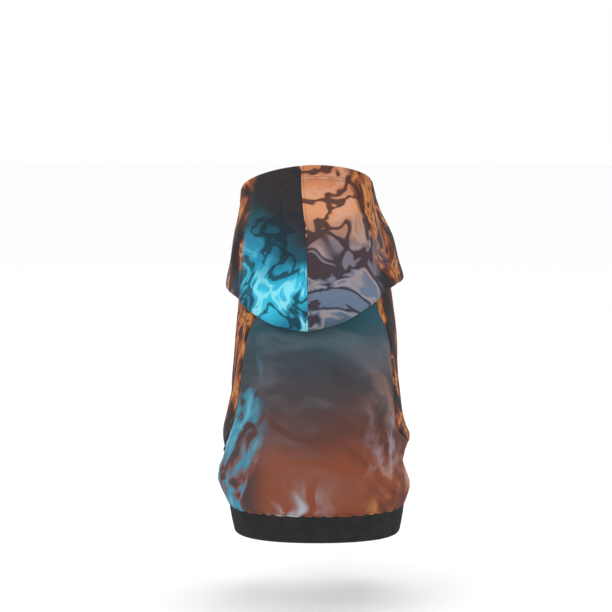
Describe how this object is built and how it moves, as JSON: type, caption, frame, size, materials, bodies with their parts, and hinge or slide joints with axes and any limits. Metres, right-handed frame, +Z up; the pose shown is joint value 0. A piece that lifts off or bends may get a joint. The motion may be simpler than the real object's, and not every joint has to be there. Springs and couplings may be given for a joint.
{
  "type": "dog hoodie",
  "caption": "Pullover hoodie for a dog in its worn form: raglan sleeves for the forelegs, a hood thrown back, rib cuffs and a rib hem, in a marbled print.",
  "frame": {"origin": "centre of the neck opening at the height of the collar, where the wearer's neck holds the hoodie up", "axes": "+Z up, +Y the way the wearer faces, +X towards the wearer's right side, so the back of the garment faces -Y"},
  "size_m": [0.2048, 0.2824, 0.3835],
  "materials": {
    "slate_print": "matte printed sweatshirt fleece, dark slate",
    "rust_print": "matte printed sweatshirt fleece, rust",
    "teal_print": "matte printed sweatshirt fleece, teal",
    "amber_print": "matte printed sweatshirt fleece, amber",
    "black_rib": "matte black rib knit"
  },
  "bodies": {
    "root": {"back_panel": "slate_print", "belly_panel": "rust_print", "sleeve_right": "rust_print", "sleeve_left": "rust_print", "hood_left": "teal_print", "hood_right": "amber_print", "hem_band": "black_rib", "cuff_right": "black_rib", "cuff_left": "black_rib"}
  },
  "joints": []
}
